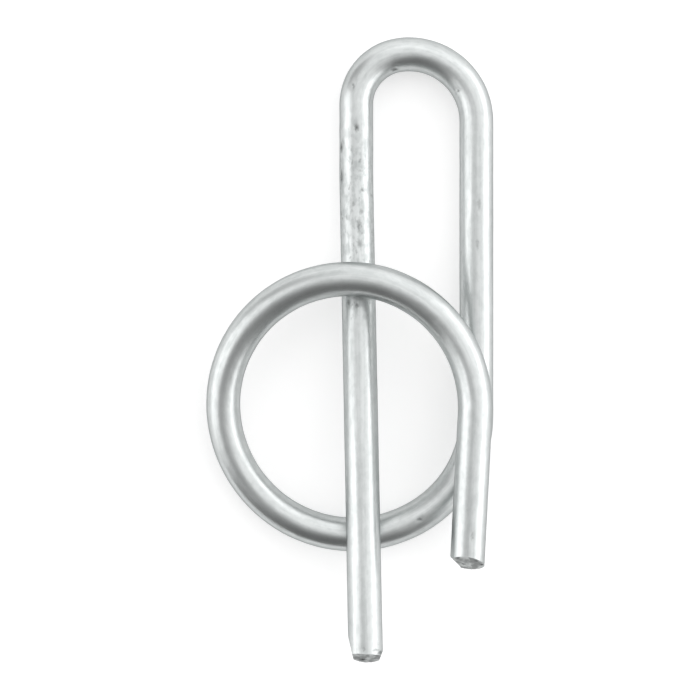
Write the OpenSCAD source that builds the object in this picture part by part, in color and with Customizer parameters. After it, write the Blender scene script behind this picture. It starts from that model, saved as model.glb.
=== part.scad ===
// Spring wire retaining clip: one round wire bent into a hairpin, with one leg
// wound into a full ring that the other leg threads, going over the ring and under it.
// Millimetres. The clip lies on Z = 0, its legs along Y, the hairpin end at +Y.
// The origin is the centre of the part of the ring that lies flat.

/* [Wire] */
// diameter of the spring wire
wire_d = 3.2; // [2:0.1:5]

/* [Ring] */
// inside diameter of the ring
ring_inner_d = 21; // [16:0.5:32]
// how far past its lowest point the ring leaves the table (degrees)
ramp_lead = 45; // [30:1:60]
// how much tighter than the rest the ring is wound past its highest point
ring_tuck = 0.55; // [0:0.05:1.5]
// mean radius where the leg turns into the ring
lead_in_r = 10.9; // [8:0.1:14]
// turn taken at that radius (degrees)
lead_in_angle = 53; // [20:1:75]
// mean radius where the ring turns into its tail
lead_out_r = 12.1; // [6:0.1:20]
// turn taken at that radius (degrees)
lead_out_angle = 28; // [10:1:40]
// air left where one run of wire passes over another
crossing_gap = 0.25; // [0.1:0.05:1]

/* [Hairpin] */
// spacing of the two legs, centre to centre
legs_apart = 11.3; // [9:0.1:16]
// straight run of the leg that turns into the ring
ring_leg_length = 27.7; // [20:0.1:40]
// radius of the wide side of the bend as a share of half the leg spacing
bend_skew = 1.12; // [0.9:0.01:1.2]
// turn taken on the wide side of the bend (degrees)
bend_wide_angle = 100; // [80:1:110]

/* [Free leg] */
// height of the kick in the free leg above the centre of the ring
kick_height = 21.3; // [16:0.1:25]
// mean radius of the kick
kick_r = 24; // [10:1:40]
// sideways lean of the free leg below the kick (degrees)
leg_lean = 1.1; // [-2:0.1:3]
// free leg from the kick to its tip
leg_length = 44.7; // [38:0.1:60]

/* [Tail] */
// straight tail past the ring
tail_length = 13.65; // [6:0.05:24]
// lean of the tail toward the free leg (degrees)
tail_lean = 3; // [0:0.1:8]

/* [Sheared ends] */
// slant of the cut across the leg's tip (degrees)
leg_cut_slant = 15; // [0:1:30]
// sideways turn of that cut, away from the roll-over (degrees)
leg_cut_skew = -1; // [-10:1:10]
// depth to which the cutter rolled over the leg's tip
leg_roll_depth = 0.45; // [0.1:0.05:1.2]
// slope of that roll-over to the wire (degrees)
leg_roll_angle = 12; // [10:1:60]
// slant of the cut across the tail's tip (degrees)
tail_cut_slant = 23; // [0:1:30]
// sideways turn of that cut, away from the roll-over (degrees)
tail_cut_skew = 6; // [-10:1:10]
// depth to which the cutter rolled over the tail's tip
tail_roll_depth = 0.55; // [0.1:0.05:1.2]
// slope of that roll-over to the wire (degrees)
tail_roll_angle = 45; // [10:1:60]

/* [Hidden] */
$fn = 64;
wire_r = wire_d / 2;
ring_r = ring_inner_d / 2 + wire_r;
ring_close_r = ring_r - ring_tuck;

// how much slimmer a seated run is, and how far it is let into its neighbours
seat_d = wire_d - 0.02;
seat_depth = 0.08;

// turn of the ring that lies flat, and of the ring beyond the ramp
flat_angle = 90 + ramp_lead - lead_in_angle;
upper_angle = 90 - ramp_lead + tail_lean - lead_out_angle;

// the two radii of the hairpin bend
bend_wide_r = legs_apart / 2 * bend_skew;
bend_tight_r = (legs_apart - bend_wide_r * (1 - cos(bend_wide_angle))) / (1 + cos(bend_wide_angle));

// centre lines of the two legs, and where the free leg leaves the bend
ring_leg_x = (ring_r - lead_in_r) * cos(lead_in_angle) + lead_in_r;
free_leg_x = ring_leg_x - legs_apart;
ring_leg_y = -(ring_r - lead_in_r) * sin(lead_in_angle);
free_leg_y = ring_leg_y + ring_leg_length + (bend_wide_r - bend_tight_r) * sin(bend_wide_angle);

// rise of the free leg from the kick, to pass over the low side of the ring
leg_slope = (wire_d + crossing_gap) / (kick_height + ring_r);
kick_angle = atan(norm([leg_slope, tan(leg_lean)]));
kick_roll = atan2(leg_slope, tan(leg_lean));
kick_tangent = kick_r * tan(kick_angle / 2);

// tilt of the ramp, for the high side of the ring to pass over the free leg
high_leg_z = leg_slope * (kick_height - ring_r);
high_leg_x = free_leg_x + (kick_height - ring_r) * tan(leg_lean);
ramp_to_leg = 270 - ramp_lead - acos(high_leg_x / ring_r);
ramp_tilt = asin((high_leg_z + wire_d + crossing_gap) / (ring_r * (1 - cos(ramp_to_leg))));

// Every second run is a seated one: a hair slimmer, and let into its neighbours at
// both ends, so that the runs join into one solid.

// a straight run along +Z; what follows starts at its end
module straight(length, seated = false) {
    let_in = seated ? seat_depth : 0;
    translate([0, 0, -let_in]) cylinder(d = seated ? seat_d : wire_d, h = length + 2 * let_in);
    translate([0, 0, length]) children();
}

// a bend from +Z toward +X; what follows starts at its end
module bend(radius, angle, seated = false) {
    let_in = seated ? seat_depth / radius * 180 / PI : 0;
    translate([radius, 0, 0]) rotate([90, 0, 180]) rotate([0, 0, -let_in])
        rotate_extrude(angle = angle + 2 * let_in)
            translate([radius, 0]) circle(d = seated ? seat_d : wire_d);
    translate([radius * (1 - cos(angle)), 0, radius * sin(angle)])
        rotate([0, angle, 0]) children();
}

// turns the wire about its own axis before the next bend
module roll(angle) {
    rotate([0, 0, angle]) children();
}

// the space on the +Z side of a plane through the origin
module beyond_plane() {
    translate([-2 * wire_d, -2 * wire_d, 0]) cube(4 * wire_d);
}

// a last straight run, sheared across at its tip: +X is the side away from the
// roll-over, +Y the side the slanted face looks to
module sheared_tip(length, slant, skew, roll_depth, roll_angle, seated = false) {
    let_in = seated ? seat_depth : 0;
    difference() {
        translate([0, 0, -let_in])
            cylinder(d = seated ? seat_d : wire_d, h = let_in + length + wire_d);
        translate([0, 0, length]) rotate([-slant, -skew, 0]) beyond_plane();
        translate([roll_depth - wire_r, 0, length]) rotate([0, roll_angle - 90, 0]) beyond_plane();
    }
}

// from the ramp back through the flat of the ring, the hairpin and the free leg
module hairpin_run() {
    bend(ring_r, flat_angle, seated = true)
    bend(lead_in_r, lead_in_angle)
    straight(ring_leg_length, seated = true)
    bend(bend_wide_r, bend_wide_angle)
    bend(bend_tight_r, 180 - bend_wide_angle, seated = true)
    straight(free_leg_y - kick_height - kick_tangent)
    roll(kick_roll)
    bend(kick_r, kick_angle, seated = true)
    roll(-kick_roll)
    sheared_tip(leg_length - kick_tangent, leg_cut_slant, leg_cut_skew, leg_roll_depth, leg_roll_angle);
}

// from the start of the ramp up round the ring to the tail
module ring_run() {
    roll(-ramp_tilt)
    bend(ring_r, 90 + ramp_lead)
    bend(ring_close_r, 90 - ramp_lead, seated = true)
    roll(-ramp_tilt)
    bend(ring_close_r, upper_angle)
    bend(lead_out_r, lead_out_angle, seated = true)
    roll(180)
    sheared_tip(tail_length, tail_cut_slant, tail_cut_skew, tail_roll_depth, tail_roll_angle);
}

module spring_wire() {
    color([0.78, 0.79, 0.79])
    translate([-ring_r * sin(ramp_lead), -ring_r * cos(ramp_lead), wire_r])
    rotate([90, 0, 90 - ramp_lead]) {
        hairpin_run();
        rotate([180, 0, 0]) ring_run();
    }
}

spring_wire();
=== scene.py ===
"""Looks of a spring wire retaining clip: the wire is swept run by run along the bends of the CAD part."""
import math

import bpy
from mathutils import Matrix, Vector
from mathutils.kdtree import KDTree


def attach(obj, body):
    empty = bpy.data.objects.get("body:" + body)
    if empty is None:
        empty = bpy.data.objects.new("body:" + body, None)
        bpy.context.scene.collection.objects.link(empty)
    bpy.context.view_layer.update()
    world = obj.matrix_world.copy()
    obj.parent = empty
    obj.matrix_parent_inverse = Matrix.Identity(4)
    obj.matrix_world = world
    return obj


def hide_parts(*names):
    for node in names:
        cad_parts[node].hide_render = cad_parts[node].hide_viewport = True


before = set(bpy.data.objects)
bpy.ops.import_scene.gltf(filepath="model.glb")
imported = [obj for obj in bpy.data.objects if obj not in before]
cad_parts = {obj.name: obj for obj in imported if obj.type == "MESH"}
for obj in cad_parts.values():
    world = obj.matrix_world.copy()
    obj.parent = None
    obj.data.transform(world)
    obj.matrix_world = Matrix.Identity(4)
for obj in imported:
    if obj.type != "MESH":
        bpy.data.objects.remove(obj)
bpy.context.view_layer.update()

# Sizes of the wire form, in metres and degrees, as in the CAD part
MM = 0.001
WIRE_R = 1.6 * MM
RING_R = 12.1 * MM
RING_CLOSE_R = RING_R - 0.55 * MM
RAMP_LEAD = 45.0
LEAD_IN_R = 10.9 * MM
LEAD_IN_ANGLE = 53.0
LEAD_OUT_R = 12.1 * MM
LEAD_OUT_ANGLE = 28.0
CROSSING_GAP = 0.25 * MM
LEGS_APART = 11.3 * MM
RING_LEG_LENGTH = 27.7 * MM
BEND_SKEW = 1.12
BEND_WIDE_ANGLE = 100.0
KICK_HEIGHT = 21.3 * MM
KICK_R = 24.0 * MM
LEG_LEAN = 1.1
LEG_LENGTH = 44.7 * MM
TAIL_LENGTH = 13.65 * MM
TAIL_LEAN = 3.0

# Cuts across the two tips: slant, sideways turn of each facet, and the sides rolled over as
# side, depth and slope to the wire
LEG_CUT = {"slant": 15.0, "skews": (-1.0, 9.0), "rolls": ((-1, 0.45 * MM, 12.0), (1, 0.26 * MM, 22.0))}
TAIL_CUT = {"slant": 23.0, "skews": (6.0,), "rolls": ((-1, 0.55 * MM, 45.0),)}

# Fineness of the mesh
ROUND = 56
STEP = 0.34 * MM
FINE = 0.13 * MM
END = 2.2 * MM
SPARE = 1.4 * MM
TIP_REACH = 4 * MM

# Relief of the surface
TORN_BORDER = 0.05 * MM
TORN_DEPTH = 0.22 * MM
TORN_GRAIN = 0.45 * MM
DENT_DEPTH = 0.08 * MM
DENT_EDGE = 1.6
RIPPLE_DEPTH = 0.03 * MM
RIPPLE_GRAIN = 1.3 * MM
SMOOTH_ANGLE = 32.0

# Wear of the plating: least all over, and full on the free leg between the ring and the hairpin
WEAR_LEAST = 0.4
WORN_X = 3 * MM
WORN_Z = 4.5 * MM
WORN_FROM = (4 * MM, 12 * MM)
WORN_TO = (29 * MM, 22 * MM)

# Plating: its colours, those of the marks, the torn faces and the edges seen at a low angle,
# the raggedness of the marks and the depth of the pits
BRIGHT_ZINC = (0.62, 0.640, 0.637, 1)
DULL_ZINC = (0.42, 0.444, 0.440, 1)
SPOT = (0.17, 0.178, 0.176, 1)
TORN_DARK = (0.31, 0.317, 0.316, 1)
TORN_LIGHT = (0.60, 0.614, 0.611, 1)
TORN_SPOT = (0.10, 0.102, 0.102, 1)
EDGE_TINT = (0.45, 0.466, 0.463, 1)
RAGGED = 0.34 * MM
PIT_DEPTH = 0.03 * MM

# Floor, and the room: its dim and its bright side, its dim corner and the glow beside the clip
FLOOR_COLOUR = (0.62, 0.62, 0.62, 1)
FLOOR_LIFT = 0.50
ROOM_DIM = 0.17
ROOM_BRIGHT = 1.30
BRIGHT_WAY = (0.6, 0.8, 0.0)
DIM_CORNER = (-0.78, 0.38, 0.50)
DIM_SHARE = 0.35
SIDE_GLOW = 0.8

# Camera: size of a pixel on the floor, picture width, distance and middle of the picture in pixels
PIXEL = 0.09484 * MM
PICTURE = 700
DISTANCE = 2200
MIDDLE_X = -2.87
MIDDLE_Y = 55.27
SENSOR = 36.0


def cosd(angle):
    return math.cos(math.radians(angle))


def sind(angle):
    return math.sin(math.radians(angle))


def tand(angle):
    return math.tan(math.radians(angle))


# Values that follow from the sizes
BEND_WIDE_R = LEGS_APART / 2 * BEND_SKEW
BEND_TIGHT_R = (LEGS_APART - BEND_WIDE_R * (1 - cosd(BEND_WIDE_ANGLE))) / (1 + cosd(BEND_WIDE_ANGLE))
RING_LEG_X = (RING_R - LEAD_IN_R) * cosd(LEAD_IN_ANGLE) + LEAD_IN_R
FREE_LEG_X = RING_LEG_X - LEGS_APART
RING_LEG_Y = -(RING_R - LEAD_IN_R) * sind(LEAD_IN_ANGLE)
FREE_LEG_Y = RING_LEG_Y + RING_LEG_LENGTH + (BEND_WIDE_R - BEND_TIGHT_R) * sind(BEND_WIDE_ANGLE)
LEG_SLOPE = (2 * WIRE_R + CROSSING_GAP) / (KICK_HEIGHT + RING_R)
KICK_ANGLE = math.degrees(math.atan(math.hypot(LEG_SLOPE, tand(LEG_LEAN))))
KICK_ROLL = math.degrees(math.atan2(LEG_SLOPE, tand(LEG_LEAN)))
KICK_TANGENT = KICK_R * tand(KICK_ANGLE / 2)
HIGH_LEG_Z = LEG_SLOPE * (KICK_HEIGHT - RING_R)
HIGH_LEG_X = FREE_LEG_X + (KICK_HEIGHT - RING_R) * tand(LEG_LEAN)
RAMP_TO_LEG = 270 - RAMP_LEAD - math.degrees(math.acos(HIGH_LEG_X / RING_R))
RAMP_RISE = HIGH_LEG_Z + 2 * WIRE_R + CROSSING_GAP
RAMP_TILT = math.degrees(math.asin(RAMP_RISE / (RING_R * (1 - cosd(RAMP_TO_LEG)))))


class Bender:
    """Feeds the selected loop of wire along straights and bends, and notes the centre line it takes."""

    def __init__(self, point, heading, toward, sense=1.0):
        self.point = Vector(point)
        self.heading = Vector(heading).normalized()
        self.toward = Vector(toward).normalized()
        self.mark = Vector((0.0, 0.0, 1.0))
        self.travelled = 0.0
        self.sense = sense
        self.line = []

    def note(self, point, heading, mark, along):
        self.line.append((point, heading, mark, self.sense, self.travelled + self.sense * along))

    def roll(self, angle):
        self.toward = Matrix.Rotation(math.radians(angle), 3, self.heading) @ self.toward

    def straight(self, length, step=STEP):
        steps = max(2, round(length / step))
        move = self.heading * (length / steps)
        for i in range(steps):
            bpy.ops.mesh.extrude_region_move(TRANSFORM_OT_translate={"value": move})
        for i in range(steps + 1):
            self.note(self.point + move * i, self.heading, self.mark, length * i / steps)
        self.point = self.point + self.heading * length
        self.travelled += self.sense * length

    def bend(self, radius, angle):
        turn = math.radians(angle)
        steps = max(3, round(radius * turn / STEP))
        centre = self.point + self.toward * radius
        axis = self.heading.cross(self.toward)
        bpy.ops.mesh.spin(steps=steps, angle=-turn, center=centre, axis=axis)
        arm = self.point - centre
        for i in range(steps + 1):
            part = Matrix.Rotation(turn * i / steps, 3, axis)
            self.note(centre + part @ arm, part @ self.heading, part @ self.mark, radius * turn * i / steps)
        whole = Matrix.Rotation(turn, 3, axis)
        self.point = centre + whole @ arm
        self.heading = whole @ self.heading
        self.toward = whole @ self.toward
        self.mark = whole @ self.mark
        self.travelled += self.sense * radius * turn


# The wire, from the start of the ring's ramp
start = Vector((-RING_R * sind(RAMP_LEAD), -RING_R * cosd(RAMP_LEAD), WIRE_R))
back_heading = Vector((cosd(RAMP_LEAD), -sind(RAMP_LEAD), 0.0))
inward = Vector((sind(RAMP_LEAD), cosd(RAMP_LEAD), 0.0))

bpy.ops.object.select_all(action="DESELECT")
bpy.ops.mesh.primitive_circle_add(
    vertices=ROUND, radius=WIRE_R, fill_type="NOTHING",
    location=start, rotation=back_heading.to_track_quat("Z", "Y").to_euler())
wire = bpy.context.object
wire.name = "wire"
bpy.ops.object.transform_apply(location=True, rotation=True, scale=True)
bpy.ops.object.mode_set(mode="EDIT")
bpy.ops.mesh.select_mode(type="VERT")
bpy.ops.mesh.select_all(action="SELECT")

# Back through the flat of the ring, the hairpin and the free leg
leg = Bender(start, back_heading, inward)
leg.bend(RING_R, 90 + RAMP_LEAD - LEAD_IN_ANGLE)
leg.bend(LEAD_IN_R, LEAD_IN_ANGLE)
leg.straight(RING_LEG_LENGTH)
leg.bend(BEND_WIDE_R, BEND_WIDE_ANGLE)
leg.bend(BEND_TIGHT_R, 180 - BEND_WIDE_ANGLE)
leg.straight(FREE_LEG_Y - KICK_HEIGHT - KICK_TANGENT)
leg.roll(KICK_ROLL)
leg.bend(KICK_R, KICK_ANGLE)
leg.roll(-KICK_ROLL)
leg_tip = leg.point + leg.heading * (LEG_LENGTH - KICK_TANGENT)
leg.straight(LEG_LENGTH - KICK_TANGENT - END)
leg.straight(END + SPARE, FINE)

# On up the ramp, round the ring and into the tail
bpy.ops.mesh.select_all(action="DESELECT")
bpy.ops.object.mode_set(mode="OBJECT")
for vertex in wire.data.vertices[:ROUND]:
    vertex.select = True
bpy.ops.object.mode_set(mode="EDIT")
tail = Bender(start, -back_heading, inward, sense=-1.0)
tail.roll(-RAMP_TILT)
tail.bend(RING_R, 90 + RAMP_LEAD)
tail.bend(RING_CLOSE_R, 90 - RAMP_LEAD)
tail.roll(-RAMP_TILT)
tail.bend(RING_CLOSE_R, 90 - RAMP_LEAD + TAIL_LEAN - LEAD_OUT_ANGLE)
tail.bend(LEAD_OUT_R, LEAD_OUT_ANGLE)
tail.roll(180)
tail_tip = tail.point + tail.heading * TAIL_LENGTH
tail.straight(TAIL_LENGTH - END)
tail.straight(END + SPARE, FINE)
bpy.ops.mesh.select_all(action="SELECT")
bpy.ops.mesh.normals_make_consistent(inside=False)


def select_near(piece, tip, heading, reach):
    """Selects the end of the wire, from reach before its tip on."""
    bpy.ops.mesh.select_all(action="DESELECT")
    bpy.ops.object.mode_set(mode="OBJECT")
    for vertex in piece.data.vertices:
        away = vertex.co - tip
        along = away.dot(heading)
        vertex.select = along > -reach and (away - heading * along).length < 1.2 * WIRE_R
    bpy.ops.object.mode_set(mode="EDIT")


def shear(piece, tip, run, cut):
    """Cuts a tip across at a slant, in one facet or more, and rolls its sides over."""
    side = run.toward
    up = run.heading.cross(run.toward)
    planes = []
    for skew in cut["skews"]:
        level = run.heading * cosd(skew) - side * sind(skew)
        planes.append((tip, level * cosd(cut["slant"]) + up * sind(cut["slant"])))
    for sign, depth, angle in cut["rolls"]:
        outward = side * sign
        planes.append((tip + outward * (WIRE_R - depth), run.heading * sind(angle) + outward * cosd(angle)))
    for place, normal in planes:
        select_near(piece, tip, run.heading, TIP_REACH)
        bpy.ops.mesh.bisect(
            plane_co=place, plane_no=normal, use_fill=True, clear_outer=True, threshold=1e-7)


def roughen(piece, tip, heading):
    """Turns the torn faces at a tip into a fine mesh and adds them to the group of cut faces."""
    bpy.ops.mesh.select_mode(type="FACE")
    bpy.ops.mesh.select_all(action="DESELECT")
    bpy.ops.object.mode_set(mode="OBJECT")
    for polygon in piece.data.polygons:
        torn_face = len(polygon.vertices) > 6 and polygon.normal.dot(heading) > 0.5
        polygon.select = torn_face and (polygon.center - tip).length < TIP_REACH
    bpy.ops.object.mode_set(mode="EDIT")
    bpy.ops.mesh.inset(thickness=TORN_BORDER, depth=0.0)
    bpy.ops.mesh.poke()
    bpy.ops.mesh.subdivide(number_cuts=6)
    bpy.ops.object.vertex_group_assign()
    bpy.ops.mesh.select_mode(type="VERT")


def displace(piece, strength, middle, group="", grain=0.0):
    """Pushes the surface in or out, where the group says, and evenly or by a cloud pattern."""
    bpy.ops.object.modifier_add(type="DISPLACE")
    push = piece.modifiers[-1]
    push.strength = strength
    push.mid_level = middle
    push.vertex_group = group
    if grain:
        clouds = bpy.data.textures.new("clouds", "CLOUDS")
        clouds.noise_scale = grain
        clouds.noise_depth = 2
        push.texture = clouds
        push.texture_coords = "LOCAL"
    bpy.ops.object.modifier_apply(modifier=push.name)


# Dents and spots: X, Y, half width and half length along Y in millimetres, and weight
MARKS = [
    (0.36, 26.08, 0.24, 0.44, 1.0),
    (-1.10, 24.36, 0.26, 0.46, 1.0),
    (-1.10, 21.45, 0.28, 0.75, 1.0),
    (0.66, 16.80, 0.22, 0.75, 0.7),
    (0.03, 30.00, 0.14, 0.40, 0.8),
    (9.82, 29.44, 0.18, 0.16, 0.6),
    (0.62, 22.80, 0.18, 0.22, 0.7),
    (0.80, 20.25, 0.20, 0.22, 0.7),
    (0.05, 18.94, 0.15, 0.26, 0.6),
    (0.70, 18.30, 0.20, 0.32, 0.6),
    (0.55, 15.20, 0.22, 0.40, 0.5),
    (-0.50, 9.50, 0.20, 0.26, 0.7),
    (0.33, 9.50, 0.20, 0.26, 0.7),
    (3.98, 31.50, 0.40, 0.16, 0.9),
    (6.43, -10.55, 0.32, 0.16, 0.8),
    (11.74, 18.75, 0.18, 0.60, 0.4),
    (11.60, 15.10, 0.16, 0.50, 0.4),
    (10.86, -11.75, 0.14, 0.50, 0.5),
    (2.60, -22.56, 0.50, 0.26, 1.0),
    (2.15, -22.22, 0.44, 0.14, 0.5),
    (0.96, -22.07, 0.13, 0.26, 0.45),
    (0.86, -23.30, 0.42, 0.13, 1.0),
    (10.10, -14.50, 0.26, 0.13, 1.0),
    (11.75, -14.50, 0.20, 0.16, 0.9),
    (11.30, -14.05, 0.22, 0.13, 0.8),
    (9.55, -13.75, 0.22, 0.16, 0.7),
]


def place_mark(piece, x, y):
    """The point on the upper side of the wire that lies over a place on the table."""
    upper = [vertex.co for vertex in piece.data.vertices if vertex.normal.z > 0.0]
    return min(upper, key=lambda co: math.hypot(co.x - x * MM, co.y - y * MM)).copy()


# The two ends, the dents and the ripple that drawing leaves
shear(wire, leg_tip, leg, LEG_CUT)
shear(wire, tail_tip, tail, TAIL_CUT)
wire.vertex_groups.new(name="cuts")
roughen(wire, leg_tip, leg.heading)
roughen(wire, tail_tip, tail.heading)
bpy.ops.mesh.select_all(action="SELECT")
bpy.ops.mesh.normals_make_consistent(inside=False)
bpy.ops.object.mode_set(mode="OBJECT")
spots = wire.vertex_groups.new(name="spots")
places = [place_mark(wire, mark[0], mark[1]) for mark in MARKS]
for vertex in wire.data.vertices:
    for place, (x, y, wide, long, weight) in zip(places, MARKS):
        off = vertex.co - place
        reach = math.hypot(off.x / wide, off.y / long, off.z / wide) / MM
        if reach < DENT_EDGE:
            spots.add([vertex.index], weight * (1 - reach / DENT_EDGE), "REPLACE")
displace(wire, TORN_DEPTH, 0.55, "cuts", TORN_GRAIN)
displace(wire, -DENT_DEPTH, 0.0, "spots")
displace(wire, RIPPLE_DEPTH, 0.9, grain=RIPPLE_GRAIN)
bpy.ops.object.shade_smooth_by_angle(angle=math.radians(SMOOTH_ANGLE))


def ease(value, low, high):
    """A smooth step from 0 at low to 1 at high."""
    share = min(1.0, max(0.0, (value - low) / (high - low)))
    return share * share * (3 - 2 * share)


def wear_at(point):
    """How worn the plating is: all over a little, and more on the free leg above the ring."""
    worn = 0.0
    if abs(point.x) < WORN_X and point.z < WORN_Z:
        worn = ease(point.y, *WORN_FROM) * ease(point.y, *WORN_TO)
    return WEAR_LEAST + (1 - WEAR_LEAST) * worn


# Straightened coordinates for the plating, in millimetres along and across the wire; torn faces and wear
line = leg.line + tail.line
tree_of_line = KDTree(len(line))
for i, sample in enumerate(line):
    tree_of_line.insert(sample[0], i)
tree_of_line.balance()
coords = wire.data.attributes.new("wire_coords", "FLOAT_VECTOR", "POINT")
surface = wire.data.attributes.new("surface", "FLOAT_VECTOR", "POINT")
cut_group = wire.vertex_groups["cuts"].index
for vertex in wire.data.vertices:
    point, heading, mark, sense, along = line[tree_of_line.find(vertex.co)[1]]
    away = vertex.co - point
    on = along + sense * away.dot(heading)
    coords.data[vertex.index].vector = (
        on / MM, away.dot(mark) / MM, sense * away.dot(heading.cross(mark)) / MM)
    weights = {group.group: group.weight for group in vertex.groups}
    surface.data[vertex.index].vector = (weights.get(cut_group, 0.0), wear_at(vertex.co), 0.0)


class Nodes:
    """Short forms for building a node tree."""

    def __init__(self, tree):
        self.tree = tree

    def add(self, kind, **settings):
        node = self.tree.nodes.new("ShaderNode" + kind)
        for key, value in settings.items():
            setattr(node, key, value)
        return node

    def link(self, source, target):
        self.tree.links.new(source, target)

    def noise(self, vector, stretch, detail, rough=0.55):
        scale = self.add("VectorMath", operation="MULTIPLY")
        scale.inputs[1].default_value = stretch
        self.link(vector, scale.inputs[0])
        node = self.add("TexNoise")
        node.inputs["Scale"].default_value = 1.0
        node.inputs["Detail"].default_value = detail
        node.inputs["Roughness"].default_value = rough
        self.link(scale.outputs[0], node.inputs["Vector"])
        return node.outputs["Fac"]

    def spread(self, value, low, high, to_low, to_high):
        node = self.add("MapRange", interpolation_type="SMOOTHSTEP")
        node.inputs["From Min"].default_value = low
        node.inputs["From Max"].default_value = high
        node.inputs["To Min"].default_value = to_low
        node.inputs["To Max"].default_value = to_high
        self.link(value, node.inputs["Value"])
        return node.outputs[0]

    def math(self, operation, first, second):
        node = self.add("Math", operation=operation)
        for socket, value in zip(node.inputs, (first, second)):
            if isinstance(value, (int, float)):
                socket.default_value = value
            else:
                self.link(value, socket)
        return node.outputs[0]

    def blend(self, amount, first, second):
        node = self.add("Mix", data_type="RGBA")
        self.link(amount, node.inputs["Factor"])
        for socket, value in zip((node.inputs[6], node.inputs[7]), (first, second)):
            if isinstance(value, tuple):
                socket.default_value = value
            else:
                self.link(value, socket)
        return node.outputs[2]


# Zinc plating: faint drawing lines along the wire, cloudy mottling and small dull pits
plate = bpy.data.materials.new("zinc_plate")
plate.use_nodes = True
n = Nodes(plate.node_tree)
bsdf = plate.node_tree.nodes["Principled BSDF"]
where = n.add("Attribute", attribute_name="wire_coords").outputs["Vector"]
parts = n.add("SeparateXYZ")
n.link(n.add("Attribute", attribute_name="surface").outputs["Vector"], parts.inputs[0])
cut = parts.outputs["X"]
wear = parts.outputs["Y"]

# The marks' edges are made ragged by shifting the place that is looked up
object_at = n.add("TexCoord").outputs["Object"]
ragged = n.add("TexNoise")
ragged.inputs["Scale"].default_value = 2.6 / MM
n.link(object_at, ragged.inputs["Vector"])
shift = n.add("VectorMath", operation="MULTIPLY_ADD")
shift.inputs[1].default_value = (RAGGED, RAGGED, RAGGED)
n.link(ragged.outputs["Color"], shift.inputs[0])
n.link(object_at, shift.inputs[2])
marked = 0.0
for place, (x, y, wide, long, weight) in zip(places, MARKS):
    off = n.add("VectorMath", operation="SUBTRACT")
    off.inputs[1].default_value = place + Vector((RAGGED, RAGGED, RAGGED)) / 2
    n.link(shift.outputs[0], off.inputs[0])
    scale = n.add("VectorMath", operation="MULTIPLY")
    scale.inputs[1].default_value = (1 / (wide * MM), 1 / (long * MM), 1 / (wide * MM))
    n.link(off.outputs[0], scale.inputs[0])
    reach = n.add("VectorMath", operation="LENGTH")
    n.link(scale.outputs[0], reach.inputs[0])
    marked = n.math("MAXIMUM", marked, n.spread(reach.outputs["Value"], 1.35, 0.25, 0.0, weight))

# Tone of the plating, of the marks on it and of the torn faces
lines = n.noise(where, (0.12, 3.0, 3.0), 3.0)
clouds = n.noise(where, (1.1, 2.0, 2.0), 4.0, 0.6)
grain = n.noise(where, (3.0, 4.5, 4.5), 2.0)
broad = n.noise(where, (0.09, 0.25, 0.25), 2.0)
blotch = n.spread(clouds, 0.42, 0.62, 0.0, 1.0)
dull = n.math("ADD", n.math("MULTIPLY", blotch, n.math("MULTIPLY", wear, 0.55)),
              n.math("MULTIPLY", n.spread(lines, 0.35, 0.68, 0.0, 1.0), 0.35))
tone = n.blend(dull, BRIGHT_ZINC, DULL_ZINC)
flecks = n.spread(n.noise(where, (1.2, 2.2, 2.2), 2.0), 0.60, 0.72, 0.0, 0.4)
flecks = n.math("MULTIPLY", flecks, n.spread(wear, 0.5, 1.0, 0.15, 1.0))
spotted = n.math("MULTIPLY", marked, n.spread(grain, 0.30, 0.60, 0.65, 1.0))
spotted = n.math("MAXIMUM", spotted, flecks)
tone = n.blend(spotted, tone, SPOT)
chips = n.noise(where, (1.3, 0.9, 1.5), 2.5)
torn = n.blend(n.spread(chips, 0.38, 0.62, 0.0, 1.0), TORN_DARK, TORN_LIGHT)
n.link(n.blend(cut, tone, n.blend(marked, torn, TORN_SPOT)), bsdf.inputs["Base Color"])

# Finish
bsdf.inputs["Metallic"].default_value = 1.0
bsdf.inputs["Specular Tint"].default_value = EDGE_TINT
rough = n.math("ADD", n.spread(dull, 0.0, 1.0, 0.29, 0.40), n.spread(broad, 0.35, 0.65, 0.0, 0.06))
rough = n.math("ADD", rough, n.math("MULTIPLY", spotted, 0.2))
n.link(n.math("ADD", rough, n.math("MULTIPLY", cut, 0.16)), bsdf.inputs["Roughness"])
bump = n.add("Bump")
bump.inputs["Strength"].default_value = 0.6
bump.inputs["Distance"].default_value = PIT_DEPTH
pitting = n.math("MULTIPLY", clouds, n.math("MULTIPLY", wear, 0.5))
n.link(n.math("ADD", pitting, n.math("MULTIPLY", grain, 0.2)), bump.inputs["Height"])
n.link(bump.outputs[0], bsdf.inputs["Normal"])
wire.data.materials.clear()
wire.data.materials.append(plate)

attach(wire, "root")
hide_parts("spring_wire")

# Floor: white to the camera and in the metal, and it keeps the shadow of the clip
bpy.ops.object.select_all(action="DESELECT")
bpy.ops.mesh.primitive_plane_add(size=4.0, location=(0, 0, 0))
floor = bpy.context.object
floor.name = "floor"
paper = bpy.data.materials.new("white_floor")
paper.use_nodes = True
paper.node_tree.nodes.clear()
f = Nodes(paper.node_tree)
matte = f.add("BsdfDiffuse")
matte.inputs["Color"].default_value = FLOOR_COLOUR
path = f.add("LightPath")
seen = f.math("MAXIMUM", path.outputs["Is Camera Ray"], path.outputs["Is Glossy Ray"])
seen = f.math("MAXIMUM", seen, path.outputs["Is Transmission Ray"])
glow = f.add("Emission")
f.link(f.math("MULTIPLY", seen, FLOOR_LIFT), glow.inputs["Strength"])
both = f.add("AddShader")
f.link(matte.outputs[0], both.inputs[0])
f.link(glow.outputs[0], both.inputs[1])
f.link(both.outputs[0], f.add("OutputMaterial").inputs["Surface"])
floor.data.materials.append(paper)

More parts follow.
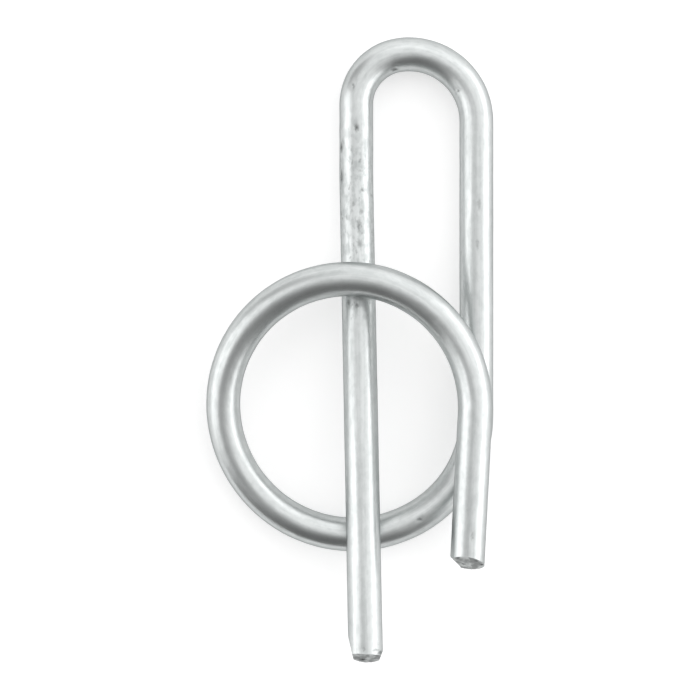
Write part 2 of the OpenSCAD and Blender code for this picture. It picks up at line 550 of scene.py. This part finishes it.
# World: a soft grey room, dim toward -Y and in one corner, bright toward +Y, with a glow at -X
world = bpy.data.worlds.new("studio")
bpy.context.scene.world = world
world.use_nodes = True
world.node_tree.nodes.clear()
w = Nodes(world.node_tree)
toward = w.add("TexCoord").outputs["Generated"]
slope = w.add("VectorMath", operation="DOT_PRODUCT")
slope.inputs[1].default_value = BRIGHT_WAY
w.link(toward, slope.inputs[0])
axes = w.add("SeparateXYZ")
w.link(toward, axes.inputs[0])
room = w.spread(slope.outputs["Value"], -0.50, 0.27, ROOM_DIM, ROOM_BRIGHT)
beside = w.spread(axes.outputs["X"], 0.0, -0.8, 0.0, SIDE_GLOW)
level = w.spread(w.math("ABSOLUTE", axes.outputs["Y"], 0.0), 0.65, 0.10, 0.0, 1.0)
corner = w.add("VectorMath", operation="DOT_PRODUCT")
corner.inputs[1].default_value = DIM_CORNER
w.link(toward, corner.inputs[0])
dim = w.spread(corner.outputs["Value"], 0.82, 0.95, 1.0, DIM_SHARE)
sky = w.add("Background")
sky.inputs["Color"].default_value = (1, 1, 1, 1)
light = w.math("ADD", w.math("MULTIPLY", room, dim), w.math("MULTIPLY", beside, level))
w.link(light, sky.inputs["Strength"])
w.link(sky.outputs[0], w.add("OutputWorld").inputs["Surface"])


def softbox(name, place, look_at, width, height, radiance):
    """A rectangular soft light that faces a point, with a stated brightness of its face."""
    lamp = bpy.data.lights.new(name, "AREA")
    lamp.shape = "RECTANGLE"
    lamp.size = width
    lamp.size_y = height
    lamp.energy = radiance * math.pi * width * height
    piece = bpy.data.objects.new(name, lamp)
    bpy.context.scene.collection.objects.link(piece)
    piece.location = place
    piece.rotation_euler = (Vector(look_at) - Vector(place)).to_track_quat("-Z", "Y").to_euler()
    piece.visible_camera = False


softbox("left_box", (-0.34, -0.03, 0.25), (0, -0.03, 0.25), width=0.36, height=0.45, radiance=1.05)
softbox("right_box", (0.34, 0.02, 0.15), (0, 0.02, 0.15), width=0.7, height=0.28, radiance=0.9)
softbox("back_box", (0.17, 0.42, 0.37), (0, 0, 0), width=0.5, height=0.22, radiance=0.42)

# Camera, straight above, as in the photograph
camera_data = bpy.data.cameras.new("camera")
camera = bpy.data.objects.new("camera", camera_data)
bpy.context.scene.collection.objects.link(camera)
camera.location = (MIDDLE_X * PIXEL, MIDDLE_Y * PIXEL, DISTANCE * PIXEL)
camera_data.sensor_width = SENSOR
camera_data.lens = SENSOR * DISTANCE / PICTURE
camera_data.clip_start = 0.01
camera_data.clip_end = 10.0
bpy.context.scene.camera = camera
bpy.context.scene.view_settings.view_transform = "Standard"
